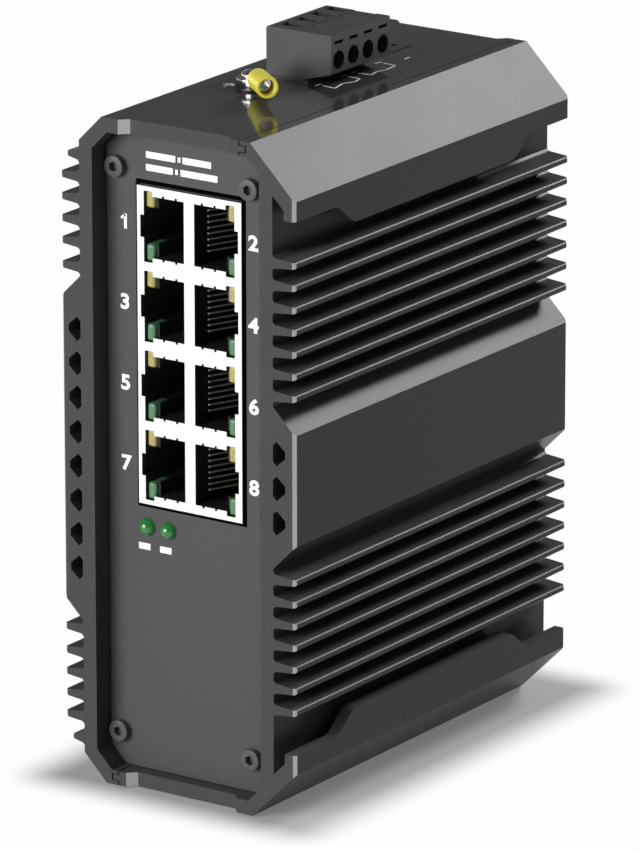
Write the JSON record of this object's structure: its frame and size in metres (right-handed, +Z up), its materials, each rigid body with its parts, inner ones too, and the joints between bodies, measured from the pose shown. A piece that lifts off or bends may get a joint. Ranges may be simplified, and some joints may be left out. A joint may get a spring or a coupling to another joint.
{
  "type": "rail mounted network switch",
  "caption": "Slim network switch in a finned metal case with two rows of sockets in front, a pluggable power connector and an earth screw on top, and a rail clip behind.",
  "frame": {"origin": "centre of the bounding box, on the surface that the case stands on", "axes": "+X to the right seen from the sockets, +Y from the sockets towards the rail, +Z up"},
  "size_m": [0.048, 0.0882, 0.1268],
  "materials": {
    "housing": "dark anodised",
    "panel": "dark matt coating",
    "screw": "black oxide",
    "shell": "bright plated",
    "insert": "moulded",
    "contact": "gold plated",
    "lens_yellow": "tinted moulded lens",
    "lens_green": "tinted moulded lens",
    "washer": "dark",
    "bright": "plated",
    "sleeve": "soft vinyl",
    "header": "moulded",
    "pins": "tin plated",
    "board": "solder mask",
    "chip": "moulded",
    "pad": "soft pad",
    "can": "sleeved can",
    "clip": "plated",
    "plug": "moulded"
  },
  "bodies": {
    "case": {"left_housing": "housing", "right_housing": "housing", "front_panel": "panel", "rear_panel": "panel", "front_panel_screws": "screw", "rear_panel_screws": "screw", "jack_shell": "shell", "port_insert_1": "insert", "port_insert_2": "insert", "port_insert_3": "insert", "port_insert_4": "insert", "port_insert_5": "insert", "port_insert_6": "insert", "port_insert_7": "insert", "port_insert_8": "insert", "port_contacts_1": "contact", "port_contacts_2": "contact", "port_contacts_3": "contact", "port_contacts_4": "contact", "port_contacts_5": "contact", "port_contacts_6": "contact", "port_contacts_7": "contact", "port_contacts_8": "contact", "speed_led_lenses": "lens_yellow", "link_led_lenses": "lens_green", "power_led_1": "lens_green", "power_led_2": "lens_green", "ground_washer": "washer", "ground_nut": "bright", "ring_terminal": "bright", "terminal_sleeve": "sleeve", "ground_screw": "bright", "power_header": "header", "header_pins": "pins", "main_board": "board", "switch_chip": "chip", "thermal_pad": "pad", "transformer_modules": "chip", "board_capacitors": "can", "din_clip": "clip", "din_clip_screws": "screw", "latch_spring": "bright"},
    "latch": {"din_latch": "clip"},
    "plug": {"power_plug": "plug", "plug_clamps": "pins", "plug_screws": "bright"}
  },
  "joints": [
    {"name": "latch_slide", "type": "slide", "parent": "case", "child": "latch", "axis": [0, 0, -1], "range_m": [0, 0.004], "stiffness_N_per_m": 1500, "springref_m": -0.004, "deforming": ["latch_spring"]},
    {"name": "power_plug_lift", "type": "slide", "parent": "case", "child": "plug", "axis": [0, 0, 1], "range_m": [0, 0.009]}
  ]
}
